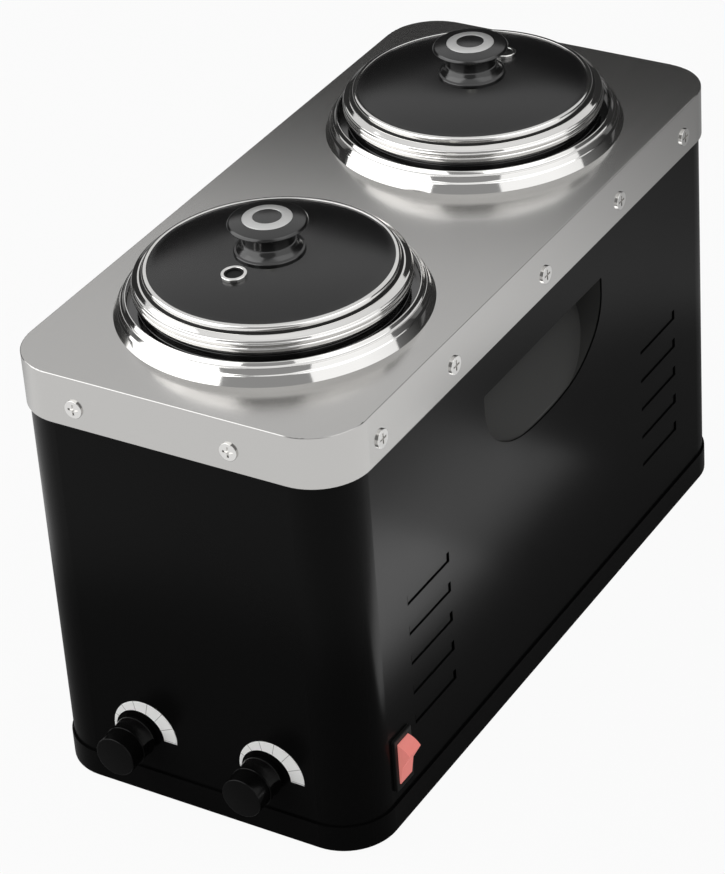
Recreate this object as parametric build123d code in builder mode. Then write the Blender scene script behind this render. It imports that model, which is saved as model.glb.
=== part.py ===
from build123d import *
from math import cos, radians, sin
import os

# Twin-pot countertop milk boiler. X runs across the front, Y from front to back, Z up from the
# surface it stands on. The origin is below the middle of the case. Sizes are in millimetres.

# Case: tray, shell and folded cover
cover_width = 200.0
cover_depth = 429.2
cover_corner = 30.25
cover_sheet = 1.2
cover_bend = 0.5
skirt_height = 29.65
case_height = 257.9
shell_inset = 1.75
shell_sheet = 1.0
shell_flange = 26.0
tray_inset = 0.6
tray_height = 15.8
tray_sheet = 0.8
tray_edge = 0.7

# Feet
foot_height = 6.0
foot_radius = 9.0
foot_inset = 24.0
foot_screw_radius = 2.0
foot_screw_head = 3.6
foot_screw_head_height = 2.4
foot_recess = 3.4

# Cover screws, flat heads along the skirt
cover_screw_radius = 2.0
cover_screw_length = 7.0
cover_screw_head = 5.1
cover_screw_head_height = 1.1
cover_screw_edge = 0.25
cover_screw_drop = 18.0
cover_screw_left_inset = 45.4
cover_screw_right_inset = 62.4
cover_screw_front_inset = 41.9
cover_screw_back_inset = 46.5
cover_screw_middle_y = (-98.2, 1.0, 88.1)
recess_length = 6.2
recess_width = 1.2
recess_depth = 0.9

# Louvres pressed inwards on both sides
louvre_length = 44.0
louvre_height = 6.4
louvre_depth = 0.8
louvre_slit = 0.6
louvre_end_gap = 1.5
louvre_pitch = 19.0
louvre_count = 5
louvre_inset = 80.6
louvre_middle = 92.0

# Hand holds
hold_width = 134.6
hold_top = 202.3
hold_height = 49.3
hold_corner = 1.5
hold_side = 7.7
hold_haunch = 51.0
hold_haunch_drop = 37.5
hold_depth = 25.6
cup_wall = 1.5
cup_flange = 7.0
cup_corner = 44.0

# Pots
pot_pitch = 214.6
pot_radius = 65.5
pot_wall = 1.0
pot_height = 170.0
pot_corner = 12.0
rim_reach = 7.25
rim_lift = 13.4
rim_height = 8.2
rim_bead = 2.65
rim_groove = 0.45
rim_crown = 4.4
rim_crown_bulge = 0.8
lid_ledge = 1.1

# Wells and collars
well_gap = 1.6
well_wall = 1.0
well_floor_gap = 2.0
well_roll = 2.1
collar_gap = 4.05
collar_lip = 0.7
collar_flare = 6.7
collar_height = 10.6
collar_sheet = 0.7
collar_shoulder = (4.4, 4.8)
collar_waist = (3.5, 5.6)
collar_neck = (2.4, 8.1)
collar_bead = (1.2, 8.9)
shelf_height = 4.6
flange_gap = 0.6
hole_gap = 0.9

# Heaters under the wells
stud_radius = 3.0
stud_length = 17.0
heater_radius = 58.0
heater_thickness = 6.0
heater_tab_reach = 50.0
heater_tab_spacing = 24.0
tab_width = 6.3
tab_thickness = 0.8
tab_length = 8.0
clamp_radius = 44.0
clamp_thickness = 3.0
nut_across = 10.0
nut_thickness = 5.0
cutout_radius = 8.0
cutout_height = 7.0
cutout_offset = 28.0
cutout_tab_spacing = 7.0
wool_thickness = 9.0
wool_gap = 0.3
wool_top_gap = 12.0

# Lids
lid_overlap = 1.4
lid_gap = 0.9
band_sheet = 0.6
band_height = 4.7
band_cover = 2.9
glass_edge_gap = 0.3
glass_land = 0.4
glass_rise = 5.6
glass_flat = 19.4
vent_reach = 29.2
vent_angles = {"front": -97.0, "rear": 81.0}
vent_radius = 7.0
vent_hole = 5.0
vent_neck = 6.2
vent_height = 2.0
vent_round = 0.6
vent_foot = 0.8
vent_slack = 0.25

# Lid knobs
knob_base_radius = 18.8
knob_base_height = 2.4
knob_flare_radius = 17.2
knob_stem_radius = 14.3
knob_stem_top = 6.9
knob_neck_radius = 13.6
knob_neck_top = 12.3
knob_disc_radius = 21.3
knob_disc_level = 16.6
knob_top_radius = 20.1
knob_top_level = 18.3
knob_height = 20.5
ring_outer = 13.1
ring_inner = 7.6
ring_seat = 18.6
ring_outer_level = 19.6
ring_inner_level = 20.25
ring_gap = 0.1
lid_screw_radius = 2.5
lid_screw_length = 16.0
lid_screw_head = 5.0
lid_screw_head_height = 3.0
lid_screw_room = 1.0
washer_radius = 9.0
washer_thickness = 1.5

# Controls on the front
dial_inset = 60.6
dial_height = 39.0
dial_outer = 19.75
dial_outer_shift = (4.23, 1.06)
dial_inner = 15.1
dial_inner_shift = (0.75, -0.8)
dial_end = -0.55
dial_sheet = 0.4
control_standoff = 1.2
control_neck_radius = 11.0
control_neck_level = 3.8
control_back_radius = 12.1
control_back_level = 4.2
control_flare_level = 4.7
control_waist_radius = 11.35
control_waist_level = 8.6
control_lip_radius = 12.1
control_lip_level = 13.3
control_step_level = 13.9
control_cap_radius = 11.8
control_cap_level = 14.1
control_face_radius = 11.5
control_face_level = 24.1
control_edge = 0.5
control_hollow_radius = 10.2
control_hollow_level = 6.2
shaft_radius = 3.0
shaft_flat = 1.0
shaft_reach = 19.0
shaft_inside = 14.0
shaft_end_gap = 0.5
running_gap = 0.05
thread_gap = 0.1
thermostat_width = 36.0
thermostat_height = 32.0
thermostat_depth = 26.0
thermostat_edge = 2.0
thermostat_tab_spacing = 16.0
thermostat_tab_drop = 8.0
bushing_radius = 5.0
bushing_reach = 3.6
bushing_nut_across = 14.0
bushing_nut_thickness = 2.5
bulb_radius = 3.0
bulb_length = 50.0
bulb_offset = 20.0
bulb_gap = 0.2
capillary_radius = 0.9
capillary_bend = 6.0

# Rocker switch on the right side
switch_inset = 40.15
switch_height = 40.3
bezel_width = 17.5
bezel_height = 33.0
bezel_thickness = 2.0
bezel_edge = 0.8
switch_wall = 1.2
switch_depth = 20.0
switch_cavity = 12.0
switch_tab_spacing = 16.0
rocker_radius = 13.1
rocker_width = 11.6
rocker_gap = 0.3
rocker_half_angle = 52.0
rocker_end_angle = 100.0
rocker_tilt = 18.0
rocker_dip = 6.2
rocker_hub = 3.0
pivot_depth = 2.0
pivot_radius = 1.5
pivot_reach = 1.0

# Rear panel, gland, terminal block and leads
panel_margin = 1.75
panel_height = 186.0
panel_bottom = 26.0
panel_sheet = 1.0
panel_lap = 9.0
panel_screw_radius = 1.5
panel_screw_head = 3.2
panel_screw_head_height = 1.8
panel_screw_edge = 0.7
panel_screw_length = 5.0
panel_recess_length = 3.6
panel_recess_width = 0.8
gland_inset = 28.0
gland_height = 50.0
gland_bore = 4.0
gland_thread_radius = 7.5
gland_thread_length = 12.0
gland_hex = 20.0
gland_hex_length = 6.0
gland_cap_radius = 9.0
gland_cap_length = 9.0
gland_cap_edge = 2.0
gland_nut_thickness = 4.0
block_length = 64.0
block_width = 22.0
block_height = 18.0
block_inset = 62.5
block_pitch = 12.0
block_poles = 5
block_entry = 8.0
block_entry_depth = 6.0
block_screw_radius = 2.5
lead_radius = 1.5
lead_bend = 5.0
fit_gap = 0.2

# Places that follow from the sizes above
tray_z = foot_height
floor_z = tray_z + tray_sheet
cover_top = tray_z + case_height
cover_under = cover_top - cover_sheet
skirt_face_x = cover_width / 2
skirt_face_y = cover_depth / 2
side_x = cover_width / 2 - shell_inset
front_y = shell_inset - cover_depth / 2
back_y = -front_y
shell_corner = cover_corner - shell_inset
tray_corner = cover_corner - tray_inset
foot_x = cover_width / 2 - tray_inset - foot_inset
foot_y = cover_depth / 2 - tray_inset - foot_inset
foot_places = [(x, y) for x in (-foot_x, foot_x) for y in (-foot_y, foot_y)]

well_inner = pot_radius + well_gap
well_outer = well_inner + well_wall
rim_radius = pot_radius + rim_reach
rim_z = cover_top + rim_lift
pot_top = rim_z + rim_height
pot_bottom = pot_top - pot_height
lid_radius = pot_radius + lid_overlap
lid_z = pot_top - lid_ledge
lip_radius = rim_radius + collar_gap
shelf_z = cover_top + shelf_height
cover_hole = well_outer + hole_gap
well_floor = pot_bottom - well_floor_gap
well_under = well_floor - well_wall
heater_under = well_under - heater_thickness
clamp_under = heater_under - clamp_thickness
pot_y = {"front": -pot_pitch / 2, "rear": pot_pitch / 2}

dial_x = {"left": dial_inset - skirt_face_x, "right": skirt_face_x - dial_inset}
dial_z = tray_z + dial_height
switch_y = front_y + switch_inset
switch_z = tray_z + switch_height
pivot_x = side_x - pivot_depth
cover_screw_z = cover_top - cover_screw_drop
cover_screw_front_x = (cover_screw_left_inset - skirt_face_x, skirt_face_x - cover_screw_right_inset)
cover_screw_side_y = (
    cover_screw_front_inset - skirt_face_y,
    *cover_screw_middle_y,
    skirt_face_y - cover_screw_back_inset,
)
louvre_group_y = skirt_face_y - louvre_inset
hold_top_z = tray_z + hold_top
hold_bottom_z = hold_top_z - hold_height
panel_width = 2 * (side_x - shell_corner - panel_margin)
panel_z = tray_z + panel_bottom + panel_height / 2
gland_x = panel_width / 2 - gland_inset
gland_z = tray_z + gland_height
panel_out_y = back_y + panel_sheet
block_y = back_y - block_inset

os.makedirs("parts", exist_ok=True)


# Feet: four rubber buttons, each with a recess for the head of its screw.
with BuildPart() as feet:
    with BuildSketch():
        with Locations(*foot_places):
            Circle(foot_radius)
    extrude(amount=foot_height)
    with BuildSketch():
        with Locations(*foot_places):
            Circle(foot_screw_head + fit_gap)
    extrude(amount=foot_recess, mode=Mode.SUBTRACT)
    with BuildSketch():
        with Locations(*foot_places):
            Circle(foot_screw_radius + fit_gap)
    extrude(amount=foot_height, mode=Mode.SUBTRACT)
feet.part.label = "feet"
export_step(feet.part, "parts/feet.step")

# Foot screws: they hold foot, tray and the shell's inward flange together.
foot_screw_top = floor_z + shell_sheet + foot_screw_head_height
with BuildPart() as foot_screws:
    with BuildSketch(Plane.XY.offset(foot_recess)):
        with Locations(*foot_places):
            Circle(foot_screw_head)
    extrude(amount=-foot_screw_head_height)
    with BuildSketch(Plane.XY.offset(foot_recess)):
        with Locations(*foot_places):
            Circle(foot_screw_radius)
    extrude(amount=foot_screw_top - foot_recess)
foot_screws.part.label = "foot_screws"
export_step(foot_screws.part, "parts/foot_screws.step")

# Base tray: a pressed pan that the shell stands in.
tray_width = cover_width - 2 * tray_inset
tray_depth = cover_depth - 2 * tray_inset
with BuildPart() as base_tray:
    with BuildSketch(Plane.XY.offset(tray_z)):
        RectangleRounded(tray_width, tray_depth, tray_corner)
    extrude(amount=tray_height)
    offset(amount=-tray_sheet, openings=base_tray.faces().sort_by(Axis.Z)[-1])
    fillet(base_tray.faces().sort_by(Axis.Z)[0].edges(), radius=tray_edge)
    with BuildSketch(Plane.XY.offset(tray_z)):
        with Locations(*foot_places):
            Circle(foot_screw_radius + fit_gap)
    extrude(amount=tray_sheet, mode=Mode.SUBTRACT)
base_tray.part.label = "base_tray"
export_step(base_tray.part, "parts/base_tray.step")

# Outline of a hand hold, hanging from the middle of its top edge.
with BuildSketch() as hold_outline:
    with BuildLine():
        Polyline((0, 0), (hold_width / 2, 0), (hold_width / 2, -hold_side))
        Spline(
            (hold_width / 2, -hold_side),
            (hold_haunch, -hold_haunch_drop),
            (0, -hold_height),
            tangents=((0, -1), (-1, 0)),
        )
        mirror(about=Plane.YZ)
    make_face()
    top_corners = vertices().group_by(Axis.Y)[-1].sort_by(Axis.X)
    fillet([top_corners[0], top_corners[-1]], radius=hold_corner)

# Body shell: one sheet wrapped round the case, with an inward flange on the tray.
shell_width = cover_width - 2 * shell_inset
shell_depth = cover_depth - 2 * shell_inset
shell_bottom = floor_z
with BuildPart() as body_shell:
    with BuildSketch(Plane.XY.offset(shell_bottom)):
        RectangleRounded(shell_width, shell_depth, shell_corner)
        RectangleRounded(
            shell_width - 2 * shell_sheet,
            shell_depth - 2 * shell_sheet,
            shell_corner - shell_sheet,
            mode=Mode.SUBTRACT,
        )
    extrude(amount=cover_under - shell_bottom)
    with BuildSketch(Plane.XY.offset(shell_bottom)):
        RectangleRounded(shell_width, shell_depth, shell_corner)
        Rectangle(shell_width - 2 * shell_flange, shell_depth - 2 * shell_flange, mode=Mode.SUBTRACT)
    extrude(amount=shell_sheet)
    with BuildSketch(Plane.XY.offset(shell_bottom)):
        with Locations(*foot_places):
            Circle(foot_screw_radius + fit_gap)
    extrude(amount=shell_sheet, mode=Mode.SUBTRACT)
    # Louvres: slots in the sheet, each with a tab that hangs from its top edge and is pressed inwards.
    louvre_top = louvre_height / 2
    tab_bottom = louvre_slit - louvre_top
    tab_back = louvre_depth + shell_sheet
    for side in (-1, 1):
        for group_y in (-louvre_group_y, louvre_group_y):
            with BuildSketch(Plane.XZ.offset(-group_y)):
                with Locations((side * (side_x - shell_sheet / 2), tray_z + louvre_middle)):
                    with GridLocations(louvre_pitch, louvre_pitch, 1, louvre_count):
                        Rectangle(shell_sheet, louvre_height)
            extrude(amount=louvre_length / 2, both=True, mode=Mode.SUBTRACT)
            with BuildSketch(Plane.XZ.offset(-group_y)):
                with Locations((side * side_x, tray_z + louvre_middle)):
                    with GridLocations(louvre_pitch, louvre_pitch, 1, louvre_count):
                        Polygon(
                            (0, louvre_top),
                            (-side * louvre_depth, louvre_top - shell_sheet),
                            (-side * louvre_depth, tab_bottom),
                            (-side * tab_back, tab_bottom),
                            (-side * tab_back, louvre_top),
                            (-side * shell_sheet, louvre_top + louvre_depth),
                            align=None,
                        )
            extrude(amount=louvre_length / 2 - louvre_end_gap, both=True)
    # Openings for the hand holds, in both sides.
    with BuildSketch(Plane.YZ):
        with Locations((0, hold_top_z)):
            add(hold_outline.sketch)
    extrude(amount=side_x, both=True, mode=Mode.SUBTRACT)
    # Holes for the thermostat bushings in the front.
    with BuildSketch(Plane.XZ.offset(-front_y)):
        with Locations(*[(x, dial_z) for x in dial_x.values()]):
            Circle(bushing_radius + fit_gap)
    extrude(amount=-shell_sheet, mode=Mode.SUBTRACT)
    # Opening for the switch in the right side.
    with BuildSketch(Plane.YZ.offset(side_x)):
        with Locations((switch_y, switch_z)):
            Rectangle(
                rocker_width + 2 * (rocker_gap + switch_wall + fit_gap),
                2 * (rocker_radius + rocker_gap + switch_wall + fit_gap),
            )
    extrude(amount=-shell_sheet, mode=Mode.SUBTRACT)
    # Service opening in the back, smaller than the panel that closes it.
    with BuildSketch(Plane.XZ.offset(-back_y)):
        with Locations((0, panel_z)):
            Rectangle(panel_width - 2 * panel_lap, panel_height - 2 * panel_lap)
            with GridLocations(panel_width - panel_lap, (panel_height - panel_lap) / 2, 2, 3):
                Circle(panel_screw_radius + fit_gap)
    extrude(amount=shell_sheet, mode=Mode.SUBTRACT)
    # Holes for the cover screws.
    with BuildSketch(Plane.XZ):
        with Locations(*[(x, cover_screw_z) for x in cover_screw_front_x]):
            Circle(cover_screw_radius + fit_gap)
    extrude(amount=cover_depth / 2, both=True, mode=Mode.SUBTRACT)
    with BuildSketch(Plane.YZ):
        with Locations(*[(y, cover_screw_z) for y in cover_screw_side_y]):
            Circle(cover_screw_radius + fit_gap)
    extrude(amount=cover_width / 2, both=True, mode=Mode.SUBTRACT)
body_shell.part.label = "body_shell"
export_step(body_shell.part, "parts/body_shell.step")

# Top cover: brushed sheet folded down all round, with a round hole over each well.
with BuildPart() as top_cover:
    with BuildSketch(Plane.XY.offset(cover_top)):
        RectangleRounded(cover_width, cover_depth, cover_corner)
    extrude(amount=-skirt_height)
    offset(amount=-cover_sheet, openings=top_cover.faces().sort_by(Axis.Z)[0])
    fillet(top_cover.faces().sort_by(Axis.Z)[-1].edges(), radius=cover_bend)
    with BuildSketch(Plane.XY.offset(cover_top)):
        with Locations(*[(0, y) for y in pot_y.values()]):
            Circle(cover_hole)
    extrude(amount=-cover_sheet, mode=Mode.SUBTRACT)
    with BuildSketch(Plane.XZ):
        with Locations(*[(x, cover_screw_z) for x in cover_screw_front_x]):
            Circle(cover_screw_radius + fit_gap)
    extrude(amount=cover_depth / 2, both=True, mode=Mode.SUBTRACT)
    with BuildSketch(Plane.YZ):
        with Locations(*[(y, cover_screw_z) for y in cover_screw_side_y]):
            Circle(cover_screw_radius + fit_gap)
    extrude(amount=cover_width / 2, both=True, mode=Mode.SUBTRACT)
top_cover.part.label = "top_cover"
export_step(top_cover.part, "parts/top_cover.step")

# One cover screw, standing on its head's seat, with a cross recess.
with BuildPart() as cover_screw:
    with BuildSketch():
        Circle(cover_screw_head)
    extrude(amount=cover_screw_head_height)
    fillet(cover_screw.faces().sort_by(Axis.Z)[-1].edges(), radius=cover_screw_edge)
    with BuildSketch():
        Circle(cover_screw_radius)
    extrude(amount=-cover_screw_length)
    with BuildSketch(Plane.XY.offset(cover_screw_head_height)):
        Rectangle(recess_length, recess_width)
        Rectangle(recess_width, recess_length)
    extrude(amount=-recess_depth, mode=Mode.SUBTRACT)

# Cover screws: the same screw on the front, back and both sides of the skirt.
cover_screw_seats = []
for x in cover_screw_front_x:
    cover_screw_seats.append(Plane((x, -skirt_face_y, cover_screw_z), (1, 0, 0), (0, -1, 0)))
    cover_screw_seats.append(Plane((x, skirt_face_y, cover_screw_z), (1, 0, 0), (0, 1, 0)))
for y in cover_screw_side_y:
    cover_screw_seats.append(Plane((skirt_face_x, y, cover_screw_z), (0, 1, 0), (1, 0, 0)))
    cover_screw_seats.append(Plane((-skirt_face_x, y, cover_screw_z), (0, 1, 0), (-1, 0, 0)))
with BuildPart() as cover_screws:
    with Locations(*cover_screw_seats):
        add(cover_screw.part)
cover_screws.part.label = "cover_screws"
export_step(cover_screws.part, "parts/cover_screws.step")

# Hand-hold cups: moulded scoops behind the side openings, flush below and deep at the top.
hold_rake = hold_depth / hold_height
for name, side in (("left", -1), ("right", 1)):
    hold_face = Plane((side * side_x, 0, hold_top_z), (0, side, 0), (side, 0, 0))
    back_face = Plane((side * side_x, 0, hold_bottom_z), (0, 1, 0), (side, 0, hold_rake))
    with BuildPart() as scoop:
        with BuildSketch(hold_face):
            add(hold_outline.sketch)
        extrude(amount=-hold_depth)
        split(bisect_by=back_face, keep=Keep.TOP)
    with BuildPart() as handle_cup:
        with BuildSketch(hold_face.offset(-shell_sheet)):
            with Locations((0, -hold_height / 2)):
                Rectangle(hold_width + 2 * cup_wall, hold_height + 2 * cup_wall)
            fillet(vertices().group_by(Axis.Y)[0], radius=cup_corner)
        extrude(amount=-hold_depth)
        split(bisect_by=back_face.offset(-cup_wall), keep=Keep.TOP)
        with BuildSketch(hold_face.offset(-shell_sheet)):
            with Locations((0, -hold_height / 2)):
                Rectangle(hold_width + 2 * cup_flange, hold_height + 2 * cup_flange)
            fillet(vertices().group_by(Axis.Y)[0], radius=cup_corner)
        extrude(amount=-cup_wall)
        add(scoop.part, mode=Mode.SUBTRACT)
    handle_cup.part.label = f"handle_cup_{name}"
    export_step(handle_cup.part, f"parts/handle_cup_{name}.step")

# Rear panel: a plate screwed over the service opening, with the hole for the cord gland.
with BuildPart() as rear_panel:
    with BuildSketch(Plane.XZ.offset(-back_y)):
        with Locations((0, panel_z)):
            Rectangle(panel_width, panel_height)
        with Locations((gland_x, gland_z)):
            Circle(gland_thread_radius + fit_gap, mode=Mode.SUBTRACT)
        with Locations((0, panel_z)):
            with GridLocations(panel_width - panel_lap, (panel_height - panel_lap) / 2, 2, 3):
                Circle(panel_screw_radius + fit_gap, mode=Mode.SUBTRACT)
    extrude(amount=-panel_sheet)
rear_panel.part.label = "rear_panel"
export_step(rear_panel.part, "parts/rear_panel.step")

# One panel screw, standing on its head's seat.
with BuildPart() as panel_screw:
    with BuildSketch():
        Circle(panel_screw_head)
    extrude(amount=panel_screw_head_height)
    fillet(panel_screw.faces().sort_by(Axis.Z)[-1].edges(), radius=panel_screw_edge)
    with BuildSketch():
        Circle(panel_screw_radius)
    extrude(amount=-panel_screw_length)
    with BuildSketch(Plane.XY.offset(panel_screw_head_height)):
        Rectangle(panel_recess_length, panel_recess_width)
        Rectangle(panel_recess_width, panel_recess_length)
    extrude(amount=-panel_screw_head_height / 2, mode=Mode.SUBTRACT)

# Rear panel screws: two columns of three.
with BuildPart() as rear_panel_screws:
    with Locations(Plane((0, panel_out_y, panel_z), (-1, 0, 0), (0, 1, 0))):
        with GridLocations(panel_width - panel_lap, (panel_height - panel_lap) / 2, 2, 3):
            add(panel_screw.part)
rear_panel_screws.part.label = "rear_panel_screws"
export_step(rear_panel_screws.part, "parts/rear_panel_screws.step")

# Cord gland: threaded through the rear panel, hexagon and clamping cap outside.
gland_face = Plane((gland_x, panel_out_y, gland_z), (-1, 0, 0), (0, 1, 0))
with BuildPart() as cable_gland:
    with BuildSketch(gland_face):
        RegularPolygon(gland_hex / 2, 6, major_radius=False)
    extrude(amount=gland_hex_length)
    with BuildSketch(gland_face.offset(gland_hex_length)):
        Circle(gland_cap_radius)
    extrude(amount=gland_cap_length)
    fillet(cable_gland.faces().sort_by(Axis.Y)[-1].edges(), radius=gland_cap_edge)
    with BuildSketch(gland_face):
        Circle(gland_thread_radius)
    extrude(amount=-gland_thread_length)
    with BuildSketch(gland_face.offset(-gland_thread_length)):
        Circle(gland_bore)
    extrude(amount=gland_thread_length + gland_hex_length + gland_cap_length, mode=Mode.SUBTRACT)
cable_gland.part.label = "cable_gland"
export_step(cable_gland.part, "parts/cable_gland.step")

# Lock nut of the gland, against the inside of the panel.
with BuildPart() as gland_nut:
    with BuildSketch(gland_face.offset(-panel_sheet)):
        RegularPolygon(gland_hex / 2, 6, major_radius=False)
        Circle(gland_thread_radius + thread_gap, mode=Mode.SUBTRACT)
    extrude(amount=-gland_nut_thickness)
gland_nut.part.label = "gland_nut"
export_step(gland_nut.part, "parts/gland_nut.step")

# Wells, collars, heaters and pots come twice, one set in front of the other.
for name, y in pot_y.items():
    pot_axis = Axis((0, y, 0), (0, 0, 1))
    pot_section = Plane.XZ.offset(-y)
    mirror_x = -1 if name == "front" else 1

    # Collar: a polished pressed ring in three steps, open underneath, with a shelf for the well's flange.
    hollow_radius = lip_radius - collar_lip + collar_sheet
    steps = [
        (lip_radius + reach, cover_top + height)
        for reach, height in (collar_shoulder, collar_waist, collar_neck, collar_bead)
    ]
    steps_inside = [(radius - collar_sheet, z - collar_sheet) for radius, z in steps[:3]]
    with BuildPart() as collar:
        with BuildSketch(pot_section):
            with BuildLine():
                Polyline(
                    (lip_radius + collar_flare, cover_top),
                    *steps,
                    (lip_radius, cover_top + collar_height),
                    (lip_radius - collar_lip, cover_top + collar_height),
                    (lip_radius - collar_lip, shelf_z),
                    (cover_hole, shelf_z),
                    (cover_hole, shelf_z - collar_sheet),
                    (hollow_radius, shelf_z - collar_sheet),
                    (hollow_radius, cover_top + collar_height - 2 * collar_sheet),
                    *reversed(steps_inside),
                    (lip_radius + collar_flare - 2 * collar_sheet, cover_top),
                    close=True,
                )
            make_face()
        revolve(axis=pot_axis)
    collar.part.label = f"collar_{name}"
    export_step(collar.part, f"parts/collar_{name}.step")

    # Well: a drawn bucket that the pot hangs in. Its roll carries the rim of the pot, its flange
    # sits on the shelf of the collar, and a stud below carries the heater.
    roll_radius = well_outer + well_roll
    flange_radius = lip_radius - collar_lip - flange_gap
    with BuildPart() as well:
        with BuildSketch(pot_section):
            with BuildLine():
                Polyline(
                    (0, well_floor),
                    (well_inner, well_floor),
                    (well_inner, rim_z),
                    (roll_radius, rim_z),
                    (roll_radius, rim_z - well_wall),
                    (well_outer, rim_z - well_wall),
                    (well_outer, shelf_z + well_wall),
                    (flange_radius, shelf_z + well_wall),
                    (flange_radius, shelf_z),
                    (well_outer, shelf_z),
                    (well_outer, well_under),
                    (stud_radius, well_under),
                    (stud_radius, well_under - stud_length),
                    (0, well_under - stud_length),
                    close=True,
                )
            make_face()
            fillet(vertices().sort_by_distance((well_inner, well_floor))[0], radius=pot_corner + well_gap)
            outer_corner = pot_corner + well_gap + well_wall
            fillet(vertices().sort_by_distance((well_outer, well_under))[0], radius=outer_corner)
        revolve(axis=pot_axis)
    well.part.label = f"well_{name}"
    export_step(well.part, f"parts/well_{name}.step")

    # Heating plate: a cast disc against the underside of the well, with two flat terminals.
    tab_y = y - heater_tab_reach
    with BuildPart() as heater_plate:
        with BuildSketch(Plane.XY.offset(heater_under)):
            with Locations((0, y)):
                Circle(heater_radius)
                Circle(stud_radius + fit_gap, mode=Mode.SUBTRACT)
        extrude(amount=heater_thickness)
        with BuildSketch(Plane.XY.offset(heater_under)):
            with Locations((0, tab_y)):
                with GridLocations(heater_tab_spacing, tab_width, 2, 1):
                    Rectangle(tab_width, tab_thickness)
        extrude(amount=-tab_length)
    heater_plate.part.label = f"heater_plate_{name}"
    export_step(heater_plate.part, f"parts/heater_plate_{name}.step")

    # Pressure plate and nut that hold the heating plate up.
    with BuildPart() as heater_clamp:
        with BuildSketch(Plane.XY.offset(clamp_under)):
            with Locations((0, y)):
                Circle(clamp_radius)
                Circle(stud_radius + fit_gap, mode=Mode.SUBTRACT)
        extrude(amount=clamp_thickness)
    heater_clamp.part.label = f"heater_clamp_{name}"
    export_step(heater_clamp.part, f"parts/heater_clamp_{name}.step")

    with BuildPart() as clamp_nut:
        with BuildSketch(Plane.XY.offset(clamp_under)):
            with Locations((0, y)):
                RegularPolygon(nut_across / 2, 6, major_radius=False)
                Circle(stud_radius + thread_gap, mode=Mode.SUBTRACT)
        extrude(amount=-nut_thickness)
    clamp_nut.part.label = f"clamp_nut_{name}"
    export_step(clamp_nut.part, f"parts/clamp_nut_{name}.step")

    # Thermal cut-out on the pressure plate, with two flat terminals.
    with BuildPart() as thermal_cutout:
        with BuildSketch(Plane.XY.offset(clamp_under)):
            with Locations((-mirror_x * cutout_offset, y)):
                Circle(cutout_radius)
        extrude(amount=-cutout_height)
        with BuildSketch(Plane.XY.offset(clamp_under - cutout_height)):
            with Locations((-mirror_x * cutout_offset, y)):
                with GridLocations(tab_width, cutout_tab_spacing, 1, 2):
                    Rectangle(tab_width, tab_thickness)
        extrude(amount=-tab_length)
    thermal_cutout.part.label = f"thermal_cutout_{name}"
    export_step(thermal_cutout.part, f"parts/thermal_cutout_{name}.step")

    # Insulation jacket: mineral wool round the well.
    with BuildPart() as insulation:
        with BuildSketch(Plane.XY.offset(well_under)):
            with Locations((0, y)):
                Circle(well_outer + wool_gap + wool_thickness)
                Circle(well_outer + wool_gap, mode=Mode.SUBTRACT)
        extrude(amount=cover_under - wool_top_gap - well_under)
    insulation.part.label = f"insulation_{name}"
    export_step(insulation.part, f"parts/insulation_{name}.step")

    # Pot: a drawn bucket with a beaded rim and a ledge inside the rim for the lid.
    with BuildPart() as pot:
        with BuildSketch(pot_section):
            with BuildLine():
                bead_low = rim_z + rim_bead
                bead_high = rim_z + 2 * rim_bead
                Polyline(
                    (rim_radius - rim_crown - rim_groove, pot_top),
                    (lid_radius + lid_gap, pot_top),
                    (lid_radius + lid_gap, lid_z),
                    (pot_radius - pot_wall, lid_z),
                    (pot_radius - pot_wall, pot_bottom + pot_wall),
                    (0, pot_bottom + pot_wall),
                    (0, pot_bottom),
                    (pot_radius, pot_bottom),
                    (pot_radius, rim_z),
                    (rim_radius, rim_z),
                    (rim_radius, bead_low - rim_groove),
                    (rim_radius - rim_groove, bead_low),
                    (rim_radius, bead_low + rim_groove),
                    (rim_radius, bead_high - rim_groove),
                    (rim_radius - rim_groove, bead_high),
                )
                SagittaArc(
                    (rim_radius - rim_groove, bead_high),
                    (rim_radius - rim_crown - rim_groove, pot_top),
                    -rim_crown_bulge,
                )
            make_face()
            inside = (pot_radius - pot_wall, pot_bottom + pot_wall)
            fillet(vertices().sort_by_distance(inside)[0], radius=pot_corner - pot_wall)
            fillet(vertices().sort_by_distance((pot_radius, pot_bottom))[0], radius=pot_corner)
        revolve(axis=pot_axis)
    pot.part.label = f"pot_{name}"
    export_step(pot.part, f"parts/pot_{name}.step")

    # Lid band: a rolled channel round the edge of the glass.
    band_top = lid_z + band_height
    channel_radius = lid_radius - band_sheet
    with BuildPart() as lid_rim:
        with BuildSketch(pot_section):
            with BuildLine():
                Polyline(
                    (lid_radius - band_cover, lid_z),
                    (lid_radius, lid_z),
                    (lid_radius, band_top),
                    (lid_radius - band_cover, band_top),
                    (lid_radius - band_cover, band_top - band_sheet),
                    (channel_radius, band_top - band_sheet),
                    (channel_radius, lid_z + band_sheet),
                    (lid_radius - band_cover, lid_z + band_sheet),
                    close=True,
                )
            make_face()
            fillet(vertices().sort_by_distance((lid_radius, band_top))[0], radius=2 * band_sheet)
        revolve(axis=pot_axis)
    lid_rim.part.label = f"lid_rim_{name}"
    export_step(lid_rim.part, f"parts/lid_rim_{name}.step")

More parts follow.
